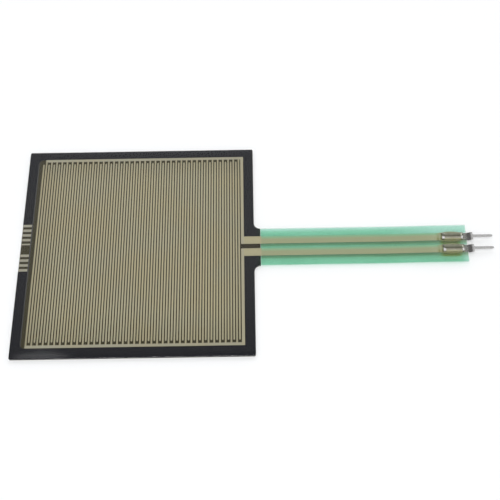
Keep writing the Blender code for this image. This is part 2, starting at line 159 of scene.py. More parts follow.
class Finish:

    def __init__(self, name):
        self.material = bpy.data.materials.new(name)
        self.material.use_nodes = True
        self.tree = self.material.node_tree
        self.tree.nodes.clear()
        self.output = self.add("ShaderNodeOutputMaterial")
        self.place = self.add("ShaderNodeTexCoord").outputs["Object"]

    def add(self, kind, **settings):
        node = self.tree.nodes.new(kind)
        for key, value in settings.items():
            setattr(node, key, value)
        return node

    def feed(self, socket, value):      # a link where the value is a socket, else a plain setting
        if isinstance(value, bpy.types.NodeSocket):
            self.tree.links.new(value, socket)
        elif socket.type == "RGBA":
            socket.default_value = (*value, 1.0)
        else:
            socket.default_value = value

    def fill(self, node, **inputs):      # each socket by its own name, written in camelCase
        sockets = {socket.name.replace(" ", "").lower(): socket for socket in node.inputs}
        for key, value in inputs.items():
            self.feed(sockets[key.lower()], value)
        return node

    def axes(self):      # the place along x and y
        node = self.add("ShaderNodeSeparateXYZ")
        self.feed(node.inputs[0], self.place)
        return node.outputs["X"], node.outputs["Y"]

    def noise(self, size, detail, squeeze=(1.0, 1.0, 1.0)):
        # Blotches of one size, in metres, narrower on each axis by the squeeze.
        mapping = self.fill(self.add("ShaderNodeMapping"), vector=self.place, scale=squeeze)
        node = self.add("ShaderNodeTexNoise")
        self.fill(node, vector=mapping.outputs[0], scale=1.0 / size, detail=detail)
        return node.outputs["Fac"]

    def math(self, operation, *values):
        node = self.add("ShaderNodeMath", operation=operation)
        for socket, value in zip(node.inputs, values):
            self.feed(socket, value)
        return node.outputs[0]

    def ramp(self, value, low, high, newLow=0.0, newHigh=1.0):
        node = self.add("ShaderNodeMapRange", interpolation_type="SMOOTHSTEP")
        for socket, number in zip(node.inputs, (value, low, high, newLow, newHigh)):
            self.feed(socket, number)
        return node.outputs[0]

    def times(self, first, second):
        return self.math("MULTIPLY", first, second)

    def band(self, value, low, high, ease, start=0.0):
        # 1 from start + low to start + high, easing to 0 just outside.
        rise = self.ramp(value, start + low - ease, start + low)
        fall = self.ramp(value, start + high, start + high + ease, 1.0, 0.0)
        return self.times(rise, fall)

    def mix(self, share, first, second, blend="MIX"):
        node = self.add("ShaderNodeMix", data_type="RGBA", blend_type=blend)
        for name, value in (("Factor_Float", share), ("A_Color", first), ("B_Color", second)):
            self.feed(next(socket for socket in node.inputs if socket.identifier == name), value)
        return next(socket for socket in node.outputs if socket.identifier == "Result_Color")

    def grey(self, level):
        node = self.add("ShaderNodeCombineColor")
        return self.fill(node, red=level, green=level, blue=level).outputs[0]

    def bump(self, height, strength, distance):
        node = self.fill(self.add("ShaderNodeBump"), strength=strength, distance=distance, height=height)
        return node.outputs[0]

    def principled(self, **inputs):
        return self.fill(self.add("ShaderNodeBsdfPrincipled"), **inputs).outputs[0]

    def clear(self, tint):
        return self.fill(self.add("ShaderNodeBsdfTransparent"), color=tint).outputs[0]

    def blend(self, share, first, second):
        node = self.add("ShaderNodeMixShader")
        for socket, value in zip(node.inputs, (share, first, second)):
            self.feed(socket, value)
        return node.outputs[0]

    def done(self, shader):
        self.feed(self.output.inputs["Surface"], shader)
        return self.material


def dress(names, material):
    for name in names:
        for slot in nodes[name].material_slots:
            slot.material = material


# Clear film, over everything else

film = {
    "cornerRadius": 0.3 * mm,
    "filletRadius": 1.15 * mm,
    "tipRadius": 0.15 * mm,
    "seat": 0.003 * mm,            # the underside stands this far off the print
    "rollover": 0.012 * mm,        # the die draws the upper edge down by this much
    "rolloverReach": 0.12 * mm,
    "edgeShares": (0.0, 0.15, 0.4, 0.7, 1.0),  # places of the grid's lines within that reach
    "gridGap": 1.1 * mm,
    "cornerSteps": 8,
    "innerRows": 12,
    "outerRows": 16,
    "waviness": 0.006 * mm,
    "waveLength": 17.0 * mm,
    "waves": ((1.0, 0.4, 0.0), (-0.5, 0.7, 1.3), (0.0, 1.9, 0.6)),      # turns along x and y, and offset
    "slitClearance": 0.01 * mm,
    "tint": (0.985, 0.984, 0.972),
    "mirror": 0.042,               # share that the surface mirrors, seen straight on
    "polish": 0.04,
    "airGapEdge": 0.04 * mm,
    "windowLeft": 1.695 * mm,      # border from the outer edge to the window in the glue
    "windowRight": 1.85 * mm,
    "airMirror": 0.1,              # how much of the mirror the underside shows over air
    "ventReach": 5.0 * mm,
    "ventMiddle": 0.575 * mm,
    "cutEdge": (0.55, 0.56, 0.56),
    "cutEdgePale": (0.75, 0.76, 0.75),
    "cutEdgeGrain": (0.1 * mm, 2.0),           # a noise: its size, its detail and, on some, its squeeze
    "cutEdgeRoughness": 0.4,
    "cutEdgeShare": 0.35,
}


def mirrorShare(finish):
    # More mirror at a low angle, on both sides of the film: mirror + (1 - mirror) * (1 - cosine)^5.
    facing = finish.fill(finish.add("ShaderNodeLayerWeight"), blend=0.5).outputs["Facing"]
    power = finish.math("POWER", facing, 5.0)
    return finish.math("MULTIPLY_ADD", power, 1.0 - film["mirror"], film["mirror"])


def shine(finish, share):
    gloss = finish.principled(baseColor=(1.0, 1.0, 1.0), metallic=1.0, roughness=film["polish"])
    return finish.blend(share, finish.clear(film["tint"]), gloss)


def filmTopMaterial():
    finish = Finish("clearPolyester")
    return finish.done(shine(finish, mirrorShare(finish)))


def filmUndersideMaterial():
    # The underside mirrors only over air, which is over the window and the vent.
    finish = Finish("clearPolyesterUnderside")
    x, y = finish.axes()
    ease, vent = film["airGapEdge"], film["ventReach"]
    windowX = film["windowLeft"] - halfSide
    overWindow = finish.times(finish.band(x, windowX, halfSide - film["windowRight"], ease),
                              finish.band(y, -printReach, printReach, ease, printMiddleY))
    overVent = finish.times(finish.band(x, -halfSide, windowX, ease),
                            finish.band(y, -vent, vent, ease, film["ventMiddle"]))
    air = finish.times(finish.math("MAXIMUM", overWindow, overVent), film["airMirror"])
    return finish.done(shine(finish, finish.times(air, mirrorShare(finish))))


def filmEdgeMaterial():
    # Mostly clear, with a little pale scatter from the die's cut.
    finish = Finish("clearPolyesterCutEdge")
    tone = finish.mix(finish.noise(*film["cutEdgeGrain"]), film["cutEdge"], film["cutEdgePale"])
    body = finish.principled(baseColor=tone, roughness=film["cutEdgeRoughness"])
    return finish.done(finish.blend(film["cutEdgeShare"], finish.clear(film["tint"]), body))


def outlineHalfWidths(x):
    # Half widths of the die-cut outline at x: the square's, with round outer corners, and the tail's,
    # with a hollow fillet at its root and round corners at its tip.
    corner, fillet, tip = film["cornerRadius"], film["filletRadius"], film["tipRadius"]
    past = np.clip(np.abs(x) - (halfSide - corner), 0.0, corner)
    square = halfSide - corner + np.sqrt(corner**2 - past**2)
    left = np.clip(halfSide + fillet - x, 0.0, fillet)
    root = tailHalf + fillet - np.sqrt(fillet**2 - left**2)
    past = np.clip(x - (tailEndX - tip), 0.0, tip)
    return square, root - tip + np.sqrt(tip**2 - past**2)


def slitRanges():
    # x range and y range of each slit that a contact's wing comes up through.
    start, end = tab["wingStart"] - film["slitClearance"], tab["wingEnd"] + film["slitClearance"]
    outer = tab["width"] / 2 + film["slitClearance"]
    inner = tab["width"] / 2 - tab["thickness"] / 2 - tab["bendRadius"]
    ranges = []
    for middle in tabMiddles:
        ranges.append((start, end, middle + inner, middle + outer))
        ranges.append((start, end, middle - outer, middle - inner))
    return ranges


def filmHeight(x, y, distance):
    # Upper side: the underside's line and the film's thickness, a faint waviness from three crossing sine
    # waves, and the edge drawn down as the square of the way into its reach.
    turn = 2.0 * math.pi / film["waveLength"]
    wave = sum(np.sin(turn * (alongX * x + alongY * y) + offset) for alongX, alongY, offset in film["waves"])
    drawn = film["rollover"] * np.clip(1.0 - distance / film["rolloverReach"], 0.0, 1.0) ** 2
    return filmUnderside(x) + filmThickness - film["waviness"] * (1.0 + wave / len(film["waves"])) - drawn


def clearFilm():
    # A grid of columns along x. The inner rows run the whole length as shares of the tail's half width,
    # and the outer rows fill the square from there to its edge. Cells outside the outline or in a slit are
    # left out.
    slits = slitRanges()
    corner, fillet, tip = (film[key] for key in ("cornerRadius", "filletRadius", "tipRadius"))
    edges = film["rolloverReach"] * np.array(film["edgeShares"])
    quarter = 1.0 - np.cos(np.linspace(0.0, math.pi / 2, film["cornerSteps"] + 1))
    columns = mergedSteps(
        np.arange(-halfSide, tailEndX, film["gridGap"]) + edges[-1], edges - halfSide, halfSide - edges,
        corner * quarter - halfSide, halfSide - corner * quarter, halfSide + fillet * quarter,
        tailX[tailX < tailEndX], tailEndX - tip * quarter, tailEndX - edges, [slits[0][0], slits[0][1]])
    slitShares = np.array([place for slit in slits for place in slit[2:]]) / tailHalf
    margin = edges[:-1] / tailHalf
    inner = mergedSteps(np.linspace(-1.0, 1.0, film["innerRows"] + 1), slitShares, margin - 1.0, 1.0 - margin)
    outerRows = film["outerRows"]
    outerShares = np.append(np.linspace(0.0, 1.0, outerRows + 1)[1:], np.ones(len(edges) - 1))
    outerBack = np.append(np.full(outerRows, edges[-1]), edges[-2::-1])

    square, tail = outlineHalfWidths(columns)
    innerY = tail[:, None] * inner
    outerY = tail[:, None] + (square[:, None] - edges[-1] - tail[:, None]) * outerShares
    outerY += edges[-1] - outerBack
    y = np.concatenate([-outerY[:, ::-1], innerY, outerY], axis=1)
    x = np.broadcast_to(columns[:, None], y.shape)

    fromSide = np.where(x < halfSide, square[:, None], tail[:, None]) - np.abs(y)
    inSquare = np.abs(y) > tail[:, None] + sameSpot
    fromEnd = np.where(inSquare, halfSide - np.abs(x), np.minimum(tailEndX - x, halfSide + x))
    distance = np.minimum(np.maximum(fromSide, 0.0), np.maximum(fromEnd, 0.0))
    upper = np.stack([x, y, filmHeight(x, y, distance)], -1)
    lower = np.stack([x, y, filmUnderside(x) + film["seat"]], -1)

    middleX = (columns[1:] + columns[:-1])[:, None] / 2
    middleY = (y[1:, 1:] + y[:-1, :-1]) / 2
    rows = np.arange(y.shape[1] - 1)
    isInner = (rows >= len(outerShares)) & (rows < len(outerShares) + len(inner) - 1)
    keep = (middleX < halfSide) | isInner[None, :]
    for x0, x1, y0, y1 in slits:
        keep = keep & ~((middleX > x0) & (middleX < x1) & (middleY > y0) & (middleY < y1))
    sides = [filmTopMaterial(), filmUndersideMaterial(), filmEdgeMaterial()]
    piece = addSheet("clearFilm", upper, lower, keep, sides)
    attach(piece, "root")
    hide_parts("electrode_film")


# Green print under the tail

coat = {
    "thickness": 0.03 * mm,
    "gap": 0.002 * mm,
    "traceWidth": 1.575 * mm,
    "traceThickness": 0.02 * mm,
    "traceClearance": 0.008 * mm,
    "padStart": 56.425 * mm,
    "padEnd": 60.945 * mm,
    "padBulge": 0.27 * mm,         # the silver and the coat's edge bow out round a contact
    "wall": 0.001 * mm,            # run of the step over a trace's edge
    "slope": 0.06 * mm,            # the coat's lower side eases back over this much
    "slopeSteps": 5,
    "padSteps": 12,
    "gridGap": 1.3 * mm,
    "deep": (0.655, 0.893, 0.795),
    "pale": (0.688, 0.914, 0.823),
    "cloud": (6.0 * mm, 2.0),
    "grain": (0.25 * mm, 3.0),
    "cloudPart": 0.6,              # of the mottle, the rest being grain
    "thin": (0.79, 0.95, 0.912),   # painted light: paler towards the tail's +Y edge, where more light gets under the film
    "thinReach": 1.0 * mm,
    "thinEnd": (44.0 * mm, 57.0 * mm, 0.0, 0.9),       # painted reflection: paler along here, by these shares
    "thinEndSide": (1.9 * mm, 2.5 * mm),
    "thinTip": (60.0 * mm, 61.3 * mm, 0.0, 0.8),       # and a painted reflection at the tip over its whole width
    "full": (0.98, 0.965, 0.945),  # painted shade: darker round the traces towards the contacts
    "fullRun": (36.0 * mm, 50.0 * mm),
    "fullSide": (-2.4 * mm, 0.6 * mm, 0.8 * mm),       # low, high and ease, as in the bands below
    "thick": (0.90, 0.862, 0.80),  # painted shadow along the -Y side of each trace
    "thickSide": (-0.38 * mm, 0.0, 0.38 * mm),
    "stain": (0.88, 0.73, 0.25),   # painted shadow of each contact, on its -Y side
    "stainRun": (57.425 * mm, 59.445 * mm, 1.3 * mm),
    "stainSide": (-0.65 * mm, 0.0, 0.25 * mm),
    "body": (0.10, 0.52, 0.31),
    "bodyRoughness": 0.5,
    "bodyShare": 0.07,
}


def coatMaterial():
    # Light passes both sides of the coat, so each side takes half of the tint: faintly mottled, paler at the
    # +Y edge (painted light) and towards the end and tip (painted reflection), with painted shade round the
    # traces and painted shadows beside the traces and contacts.
    finish = Finish("greenPrint")
    x, y = finish.axes()
    cloud = finish.times(finish.noise(*coat["cloud"]), coat["cloudPart"])
    grain = finish.times(finish.noise(*coat["grain"]), 1.0 - coat["cloudPart"])
    mottle = finish.math("ADD", cloud, grain)
    tint = finish.mix(finish.ramp(mottle, *cloudSpan), coat["deep"], coat["pale"])
    # painted light at the +Y edge and painted reflections towards the end and at the tip, all as a paler tint
    towardsEdge = finish.ramp(y, tailHalf - coat["thinReach"], tailHalf)
    towardsEnd = finish.times(finish.ramp(x, *coat["thinEnd"]), finish.ramp(y, *coat["thinEndSide"]))
    towardsTip = finish.ramp(x, *coat["thinTip"])
    paintedPaleShare = finish.math("MAXIMUM", finish.math("MAXIMUM", towardsEdge, towardsEnd), towardsTip)
    tint = finish.mix(paintedPaleShare, tint, coat["thin"])
    # painted shade round the traces
    full = finish.times(finish.ramp(x, *coat["fullRun"]), finish.band(y, *coat["fullSide"]))
    tint = finish.mix(full, tint, coat["full"], "MULTIPLY")
    atPads = finish.band(x, *coat["stainRun"])
    for middle in tabMiddles:
        side = middle - coat["traceWidth"] / 2
        # painted shadow along the trace's -Y side
        tint = finish.mix(finish.band(y, *coat["thickSide"], side), tint, coat["thick"], "MULTIPLY")
        # painted shadow of the contact
        stain = finish.times(atPads, finish.band(y, *coat["stainSide"], side))
        tint = finish.mix(stain, tint, coat["stain"], "MULTIPLY")
    body = finish.principled(baseColor=coat["body"], roughness=coat["bodyRoughness"])
    return finish.done(finish.blend(coat["bodyShare"], finish.clear(tint), body))


def greenCoat():
    # A profile across the tail, carried along the CAD tail's stations: an even coat under the film that
    # steps down over each trace and eases back beside it. The two pad windows are left open, and round them
    # the profile bows out from each contact by bulge * sin(pi * share), less towards the middle between.
    centres = np.array(tabMiddles)
    halfTrace = coat["traceWidth"] / 2 + coat["traceClearance"]
    beside = halfTrace + coat["wall"] + coat["slope"] * np.linspace(0.0, 1.0, coat["slopeSteps"] + 1)
    places = np.append(halfTrace, beside)
    y = mergedSteps([coatLow.y, coatHigh.y], (centres[:, None] + places).ravel(),
                    (centres[:, None] - places).ravel())
    away = np.abs(y[:, None] - centres).min(axis=1)
    upperHang = np.where(away < halfTrace + coat["wall"] / 2, 1.0, 0.0)
    lowerHang = 1.0 - smooth((away - halfTrace - coat["wall"]) / coat["slope"])
    columns = mergedSteps([coatLow.x, coatHigh.x, coat["padStart"]],
                          np.arange(coatLow.x, coatHigh.x, coat["gridGap"]),
                          tailX[(tailX > coatLow.x) & (tailX < coatHigh.x)],
                          np.linspace(coat["padStart"], coat["padEnd"], coat["padSteps"] + 1))
    under = filmUnderside(columns)[:, None] - coat["gap"]
    step = coat["traceThickness"] + coat["gap"]
    share = np.clip((columns - coat["padStart"]) / (coat["padEnd"] - coat["padStart"]), 0.0, 1.0)
    nearest = centres[np.abs(y[:, None] - centres).argmin(axis=1)]
    half = abs(centres[0] - centres[1]) / 2
    eased = 1.0 - smooth((away - beside[-1]) / (half - beside[-1]))
    bowed = y + coat["padBulge"] * np.sin(math.pi * share)[:, None] * eased * np.sign(y - nearest)
    x, yGrid = np.broadcast_arrays(columns[:, None], bowed)
    upper = np.stack([x, yGrid, under - step * upperHang], -1)
    lower = np.stack([x, yGrid, under - coat["thickness"] - step * lowerHang], -1)
    middleX = (columns[1:] + columns[:-1])[:, None, None] / 2
    middleY = (y[1:] + y[:-1])[None, :, None] / 2
    inWindow = (middleX > coat["padStart"]) & (np.abs(middleY - centres) < halfTrace)
    piece = addSheet("greenCoat", upper, lower, ~inWindow.any(axis=2), [coatMaterial()] * 3)
    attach(piece, "root")
    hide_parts("tail_overprint")


# Formed contacts, crimped through the tail

tab = {
    "thickness": 0.2 * mm,
    "width": 1.45 * mm,
    "bendRadius": 0.13 * mm,
    "foldRadius": 0.22 * mm,
    "slope": 40.0,                 # degrees that a wing runs down to the middle
    "endSlope": 3.0,               # and at the wing's two ends
    "flareRun": 0.55 * mm,
    "tipClearance": 0.01 * mm,
    "seat": 0.005 * mm,            # a wing's tip stays this far off the film
    "silver": 0.02 * mm,
    "start": 56.475 * mm,
    "wingStart": 56.925 * mm,
    "wingEnd": 60.825 * mm,
    "relief": 0.1 * mm,
    "shoulderStart": 61.725 * mm,
    "shoulderEnd": 62.725 * mm,
    "shoulderHalf": 0.775 * mm,
    "shoulderRadius": 0.2 * mm,
    "pinWidth": 0.5 * mm,
    "tipWidth": 0.3 * mm,
    "tipLength": 0.4 * mm,
    "rise": 0.25 * mm,             # of the pins over the plate
    "edgeRounding": 0.025 * mm,
    "edgeSteps": 4,
    "sharpAngle": 35.0,
    "bendSteps": 8,
    "foldSteps": 12,
    "flareSteps": 10,
    "shoulderSteps": 12,
    "cornerSteps": 6,
    "metal": (0.535, 0.524, 0.516),
    "tarnish": (0.25, 0.24, 0.225),
    "tarnishShare": 0.25,
    "rolled": (0.5 * mm, 4.0, (1.0, 14.0, 14.0)),
    "rolledBump": (0.25, 0.004 * mm),                  # strength and depth
    "cloud": (0.7 * mm, 3.0),
    "roughness": (0.22, 0.36),
    "fluxShares": (0.7, 0.95),     # of the metal that the flux and the painted shade hide, patch by patch
    "fluxDulls": 0.7,              # share of its mirror that the metal loses under the flux
    "fluxRoughens": 0.12,
    "fluxEase": 0.3 * mm,
    "fluxNear": (0.29, 0.275, 0.185),
    "nearTrim": (0.65 * mm, 0.5 * mm),                 # bright ends of the near wing
    # painted shade over the +Y wing
    "fluxFar": (0.16, 0.165, 0.115),
    "farSide": (-0.05 * mm, 0.725 * mm, 0.15 * mm),    # low, high and ease, from the contact's middle
    "fluxWall": (0.46, 0.448, 0.258),                  # painted light on the outside of the near wall, which is also matt
    "wallSide": (-0.725 * mm, -0.67 * mm, 0.07 * mm),
    "ridgeShade": (0.57, 0.56, 0.53),                  # painted shade along the inner side of the near ridge
    "ridgeSide": (-0.42 * mm, -0.28 * mm, 0.06 * mm),
    # painted shade over the neck
    "neck": (0.165, 0.165, 0.152),
    "neckShare": 0.85,
    "neckEase": 0.2 * mm,
    # painted shade in the shoulder's bend
    "shade": (0.13, 0.125, 0.12),
    "shadeRun": (0.1 * mm, 0.5 * mm, 0.3 * mm),        # from the shoulder's start
}


def tinMaterial():
    # Bright tin with rolling marks along the strip, with painted shade at the neck, darkest in the shoulder's
    # bend. Flux stains the crimp and leaves its ends bright; painted shade lies on the +Y wing and along the
    # other's ridge, painted light on the other's wall.
    finish = Finish("tinPlate")
    x, y = finish.axes()
    rolled = finish.noise(*tab["rolled"])
    cloud = finish.noise(*tab["cloud"])
    tarnished = finish.ramp(rolled, *noiseSpan, 0.0, tab["tarnishShare"])
    colour = finish.mix(tarnished, tab["metal"], tab["tarnish"])
    darkShare = finish.ramp(cloud, *noiseSpan, *tab["fluxShares"])
    startTrim, endTrim = tab["nearTrim"]
    near = finish.band(x, tab["wingStart"] + startTrim, tab["wingEnd"] - endTrim, tab["fluxEase"])
    nearFlux = finish.times(near, darkShare)
    colour = finish.mix(nearFlux, colour, tab["fluxNear"])
    metallic = finish.math("MULTIPLY_ADD", nearFlux, -tab["fluxDulls"], 1.0)
    far = finish.band(x, tab["wingStart"], tab["wingEnd"], tab["fluxEase"])
    for middle in tabMiddles:
        # painted shade over the +Y wing, in patches
        farShade = finish.times(finish.times(far, finish.band(y, *tab["farSide"], middle)), darkShare)
        colour = finish.mix(farShade, colour, tab["fluxFar"])
        # painted shade along the inner side of the near ridge
        ridge = finish.times(near, finish.band(y, *tab["ridgeSide"], middle))
        colour = finish.mix(ridge, colour, tab["ridgeShade"], "MULTIPLY")
        # painted light on the outside of the near wall
        wall = finish.times(near, finish.band(y, *tab["wallSide"], middle))
        colour = finish.mix(wall, colour, tab["fluxWall"])
        metallic = finish.times(metallic, finish.math("SUBTRACT", 1.0, wall))
    # painted shade over the neck
    neck = finish.band(x, tab["wingEnd"] + tab["relief"], tab["shoulderStart"], tab["neckEase"])
    colour = finish.mix(finish.times(neck, tab["neckShare"]), colour, tab["neck"])
    # painted shade in the shoulder's bend
    colour = finish.mix(finish.band(x, *tab["shadeRun"], tab["shoulderStart"]), colour, tab["shade"])
    smeared = finish.ramp(cloud, *noiseSpan, *tab["roughness"])
    rough = finish.math("MULTIPLY_ADD", near, tab["fluxRoughens"], smeared)
    bump = finish.bump(rolled, *tab["rolledBump"])
    return finish.done(finish.principled(baseColor=colour, metallic=metallic, roughness=rough, normal=bump))


def wingSlope(x):      # steep along a wing, and nearly level at its ends, in radians
    share = smooth(np.minimum(x - tab["wingStart"], tab["wingEnd"] - x) / tab["flareRun"])
    return np.radians(tab["endSlope"] + (tab["slope"] - tab["endSlope"]) * share)


def slopeLength(slope):      # a wing's straight stretch, which stops short of the other wing
    wallY = tab["width"] / 2 - tab["thickness"] / 2
    start = wallY - tab["foldRadius"] * (1.0 + np.sin(slope))
    return (start - tab["tipClearance"] - tab["thickness"] / 2 * np.sin(slope)) / np.cos(slope)


def stripLines(x, pinHalf, formed):
    # The strip's middle line across its +Y half at each x, and the unit normal of its inside. Flat: from the
    # middle by the pin's and the plate's edge to the neck's and the shoulder's. Formed: the plate, a quarter
    # turn up, the wall, more than a quarter turn in and the wing.
    half = tab["thickness"] / 2
    wallY = tab["width"] / 2 - half
    plate = wallY - tab["bendRadius"]
    steepest = math.radians(tab["slope"])
    filmTop = half + tab["silver"] + filmThickness + tab["seat"]
    wallTop = filmTop + slopeLength(steepest) * math.sin(steepest) + half * math.cos(steepest)
    wallTop -= tab["foldRadius"] * math.cos(steepest)

    slope = wingSlope(x)[:, None]
    start = np.stack([0.0 * x, pinHalf, plate + 0.0 * x], -1)
    bend = np.linspace(0.0, math.pi / 2, tab["bendSteps"] + 1)[1:] + 0.0 * slope
    fold = np.linspace(0.0, 1.0, tab["foldSteps"] + 1) * (math.pi / 2 + slope)
    run = slopeLength(slope)
    foldY = wallY - tab["foldRadius"] + tab["foldRadius"] * np.cos(fold)
    foldZ = wallTop + tab["foldRadius"] * np.sin(fold)
    y = [start, plate + tab["bendRadius"] * np.sin(bend), foldY, foldY[:, -1:] - run * np.cos(slope)]
    z = [0.0 * start, tab["bendRadius"] * (1.0 - np.cos(bend)), foldZ, foldZ[:, -1:] - run * np.sin(slope)]
    normalY = [0.0 * start, -np.sin(bend), -np.cos(fold), -np.cos(fold[:, -1:])]
    normalZ = [0.0 * start + 1.0, np.cos(bend), -np.sin(fold), -np.sin(fold[:, -1:])]
    y, z, normalY, normalZ = (np.concatenate(part, axis=1) for part in (y, z, normalY, normalZ))

    neck = np.linspace(plate, tab["width"] / 2, tab["bendSteps"] + 1)[1:]
    outer = np.append(neck, np.full(tab["foldSteps"] + 2, tab["shoulderHalf"]))
    flatY = np.concatenate([start, outer + 0.0 * slope], axis=1)
    formed = formed[:, None]
    return (np.where(formed, y, flatY), np.where(formed, z, 0.0),
            np.where(formed, normalY, 0.0), np.where(formed, normalZ, 1.0))


def contact(name, replaced, material):
    # Lines across the strip, carried along x through the plate, the flared wings, the neck, the shoulder's
    # smooth rise, its round corners and the pin, with the strip's half thickness along each line's normal.
    low, high = tabBoxes[name]
    middleY, plateZ = (low.y + high.y) / 2, low.z + tab["thickness"] / 2
    pinHalf = tab["pinWidth"] / 2
    flare = tab["flareRun"] * np.linspace(0.0, 1.0, tab["flareSteps"] + 1)
    wing = np.concatenate([tab["wingStart"] + flare, tab["wingEnd"] - flare[::-1]])
    shoulder = np.linspace(tab["shoulderStart"], tab["shoulderEnd"], tab["shoulderSteps"] + 1)[:-1]
    corner = np.linspace(0.0, math.pi / 2, tab["cornerSteps"] + 1)
    x = np.concatenate([[tab["start"]], wing, [tab["wingEnd"] + tab["relief"]], shoulder,
                        tab["shoulderEnd"] + tab["shoulderRadius"] * (1.0 - np.cos(corner)),
                        [high.x - tab["tipLength"], high.x]])
    pins = np.full(len(x), pinHalf)
    firstCorner = len(x) - 2 - len(corner)
    pins[firstCorner:-2] += tab["shoulderRadius"] * (1.0 - np.sin(corner))
    pins[-1] = tab["tipWidth"] / 2

    atPlate = 2                                  # cells across one half: to the plate's edge, the neck's,
    atNeck = atPlate + tab["bendSteps"]          # the shoulder's and the wing's tip
    reach = np.full(len(x) - 1, atPlate)
    reach[1:len(wing)] = atNeck + tab["foldSteps"] + 2
    reach[len(wing) + 1:firstCorner] = atNeck
    reach[len(wing) + 2:firstCorner] = atNeck + 1
    reach[firstCorner:] = 1
    formed = np.zeros(len(x), bool)
    formed[1:len(wing) + 1] = True

    y, z, normalY, normalZ = stripLines(x, pins, formed)
    rise = tab["rise"] * smooth((x - tab["shoulderStart"]) / (tab["shoulderEnd"] - tab["shoulderStart"]))
    z = z + plateZ + rise[:, None]
    y, normalY = (np.concatenate([-part[:, :0:-1], part], axis=1) for part in (y, normalY))
    z, normalZ = (np.concatenate([part[:, :0:-1], part], axis=1) for part in (z, normalZ))
    across = np.arange(y.shape[1] - 1) - (y.shape[1] - 1) / 2 + 0.5
    keep = np.abs(across) < reach[:, None]
    half = tab["thickness"] / 2
    xGrid = np.broadcast_to(x[:, None], y.shape)
    upper = np.stack([xGrid, middleY + y + half * normalY, z + half * normalZ], -1)
    lower = np.stack([xGrid, middleY + y - half * normalY, z - half * normalZ], -1)
    rim = tab["edgeRounding"], tab["edgeSteps"], tab["sharpAngle"]
    piece = addSheet(name, upper, lower, keep, [material] * 3, *rim)
    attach(piece, "root")
    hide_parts(replaced)


# Silver print

silver = {
    "colour": (0.441, 0.401, 0.262),
    "warm": (0.453, 0.397, 0.242),
    "cloud": (9.0 * mm, 2.0),
    "grain": (0.06 * mm, 4.0),
    "grainBump": (0.3, 0.002 * mm),
    "grainShades": (0.90, 1.08),
    "roughness": 0.6,
    "overGreen": (0.353, 0.380, 0.231),
    "greenFade": (-0.1 * mm, 0.3 * mm),        # from the green print's start
    "barWidth": 0.54 * mm,         # of the bars round the fingers, whose print looks a little darker
    "barEase": 0.02 * mm,
    "barShade": (0.88, 0.92, 1.08),
    "sideShade": (0.95, 0.98, 1.10),
    "sideBarGap": 0.05 * mm,       # from the window's edge in the glue to the side bar
    "traceFade": (-0.01 * mm, 0.03 * mm),      # from the side bar's edge
    "fingerShade": (1.05, 1.068, 1.13),
    "rimShade": (0.86, 0.91, 0.85, 0.83),      # of the fingers at the window's -X, +X, -Y and +Y edge
    "rimReach": (6.5 * mm, 5.0 * mm, 7.5 * mm, 5.5 * mm),
    "ventShade": (0.82, 0.88, 1.15),
    "ventFade": 0.1 * mm,
    "farEdge": (0.25, 0.485, 0.298),           # a trace's +Y side, where the print is thin
    "farEdgeSide": (0.0, 0.78 * mm),           # where it begins and is full, from the trace's middle
    "farEdgeStop": (1.1 * mm, 1.2 * mm),
    "farEdgeRun": (-0.5 * mm, 0.3 * mm),       # it stops here, from the pads' start
    # painted shadow round each contact
    "contactMark": (0.22, 0.235, 0.08),
    "markRun": (-0.1 * mm, 0.7 * mm),          # lead before the contact, and ease
    "markShare": 0.35,
    "markSide": (-1.2 * mm, -0.3 * mm, 0.2 * mm),      # the painted shadow is full here, from the contact's middle
    "pressedLine": (0.02 * mm, 0.12 * mm, 0.08 * mm),  # a thin line left out of the painted shadow, from the contact's start
}


def barShades(finish, x, y):
    # Shade of the silver over the square: the fingers fade towards the window's four edges, and the bars
    # round them, the side bar, the traces and the vent bars have one shade each.
    rim = 1.0
    sides = ((x, -1), (x, 1), (y, -1), (y, 1))
    for (place, sign), shade, reach in zip(sides, silver["rimShade"], silver["rimReach"]):
        outwards = finish.times(place, sign)
        rim = finish.times(rim, finish.ramp(outwards, printReach - reach, printReach, 1.0, shade))
    fingers = finish.mix(1.0, silver["fingerShade"], finish.grey(rim), "MULTIPLY")

    ease = silver["barEase"]
    away = finish.math("ABSOLUTE", finish.math("SUBTRACT", y, printMiddleY))
    barStart = printReach - silver["barWidth"]
    shades = finish.mix(finish.ramp(away, barStart - ease, barStart + ease), fingers, silver["barShade"])
    barEnd = halfSide - film["windowRight"] - silver["sideBarGap"]
    sideStart = barEnd - silver["barWidth"]
    shades = finish.mix(finish.ramp(x, sideStart - ease, sideStart + ease), shades, silver["sideShade"])
    low, high = silver["traceFade"]
    shades = finish.mix(finish.ramp(x, barEnd + low, barEnd + high), shades, (1.0, 1.0, 1.0))
    ventEnd = film["windowLeft"] - halfSide
    return finish.mix(finish.ramp(x, ventEnd, ventEnd + silver["ventFade"]), silver["ventShade"], shades)


